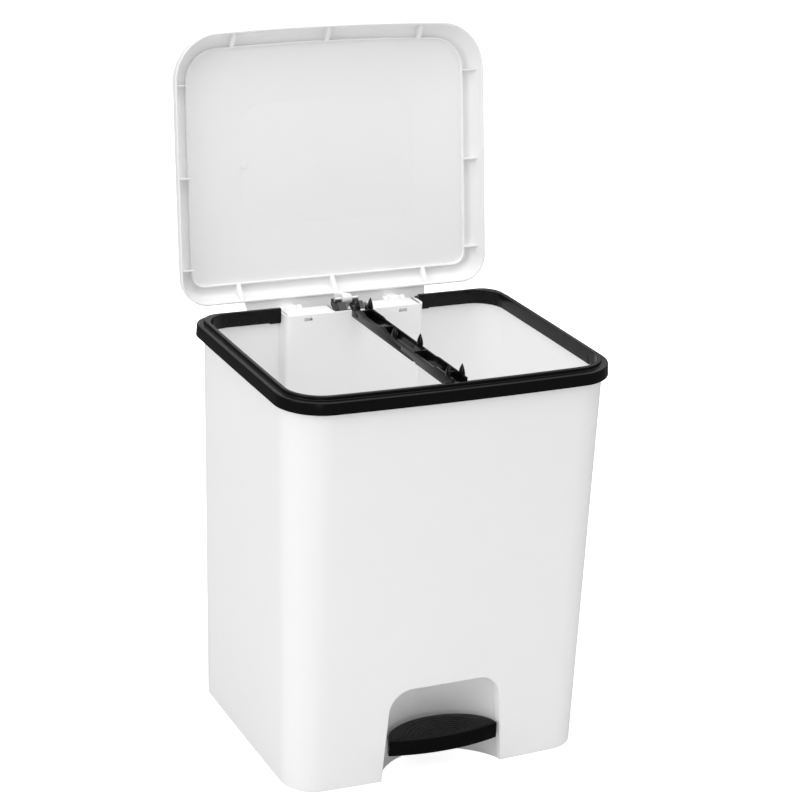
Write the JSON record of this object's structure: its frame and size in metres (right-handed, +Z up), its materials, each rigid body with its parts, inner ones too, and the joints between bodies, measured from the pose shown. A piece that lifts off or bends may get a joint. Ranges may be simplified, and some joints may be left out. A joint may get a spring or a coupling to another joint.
{
  "type": "pedal bin",
  "caption": "Upright pedal bin for two bags, with a hinged lid, a bag ring with a spiked divider, and a pedal that lifts the lid through a lever and a push rod.",
  "frame": {"origin": "centre of the base, on the floor", "axes": "+Z up, -Y towards the pedal at the front, +X to the right of a user who faces the bin's back from the front"},
  "size_m": [0.3464, 0.3597, 0.6785],
  "materials": {
    "white_plastic": "satin moulded polypropylene",
    "black_plastic": "semi-gloss moulded polypropylene",
    "steel": "plain zinc-plated",
    "rubber": "matt"
  },
  "bodies": {
    "root": {"tub": "white_plastic", "base_plate": "white_plastic", "base_screws": "steel", "foot_pads": "rubber", "hinge_housing": "white_plastic", "bag_ring": "black_plastic", "ring_divider": "black_plastic", "hinge_pin_left": "steel", "hinge_pin_right": "steel", "rod_guide_upper": "white_plastic", "rod_guide_lower": "white_plastic", "rear_cover": "white_plastic", "cover_screws": "steel", "pedal_axle": "steel", "axle_clips": "steel"},
    "lid": {"lid": "white_plastic", "lift_pin": "steel"},
    "lift_rod": {"rod_head": "black_plastic", "push_rod": "steel", "rod_foot": "black_plastic"},
    "pedal": {"pedal_tread": "black_plastic", "pedal_lever": "black_plastic", "tread_screws": "steel", "lever_pin": "steel"}
  },
  "joints": [
    {"name": "lid_hinge", "type": "hinge", "parent": "root", "child": "lid", "pos_m": [0, 0.149, 0.393], "axis": [1, 0, 0], "range_deg": [0, 98]},
    {"name": "rod_slide", "type": "slide", "parent": "root", "child": "lift_rod", "axis": [0, 0, 1], "range_m": [-0.0221, 0]},
    {"name": "pedal_hinge", "type": "hinge", "parent": "root", "child": "pedal", "pos_m": [0, -0.02, 0.014], "axis": [1, 0, 0], "range_deg": [-9.1, 0]}
  ],
  "couplings": [
    {"joint": "rod_slide", "follows": "lid_hinge", "m_per_rad": -0.012862},
    {"joint": "pedal_hinge", "follows": "lid_hinge", "ratio": -0.092413}
  ]
}
